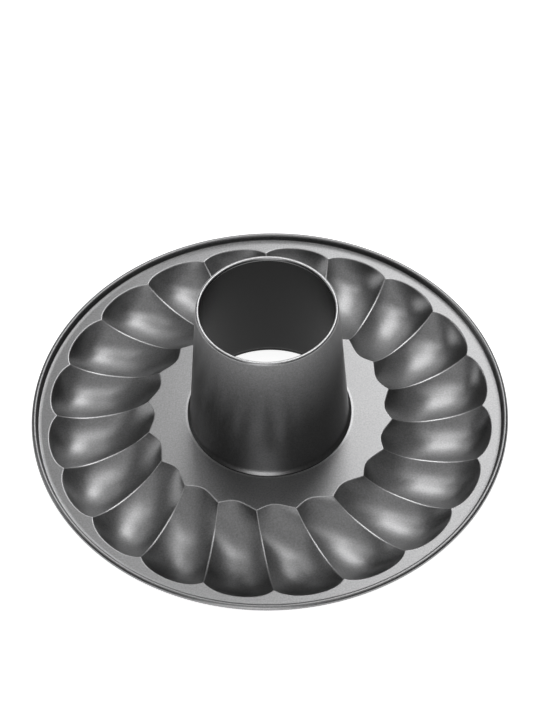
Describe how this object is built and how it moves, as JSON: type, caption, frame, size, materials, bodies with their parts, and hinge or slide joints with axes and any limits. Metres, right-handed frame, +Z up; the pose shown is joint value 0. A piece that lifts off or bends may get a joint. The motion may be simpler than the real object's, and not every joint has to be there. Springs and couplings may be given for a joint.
{
  "type": "fluted ring-cake base",
  "caption": "Round fluted base plate of a springform baking pan, with slanted pressed flutes, a rolled rim and a tapered centre tube.",
  "frame": {"origin": "on the tube's axis, level with the lowest points of the flutes, which the part stands on", "axes": "+Z up along the tube's axis, out of its curled top; +X, -X, +Y and -Y each pass through the outer cusp between two flutes; -Y is the front"},
  "size_m": [0.26, 0.26, 0.0958],
  "materials": {
    "nonstick_coat": "satin dark grey metallic non-stick coat with a fine speckle"
  },
  "bodies": {
    "root": {"fluted_base": "nonstick_coat", "centre_tube": "nonstick_coat"}
  },
  "joints": []
}
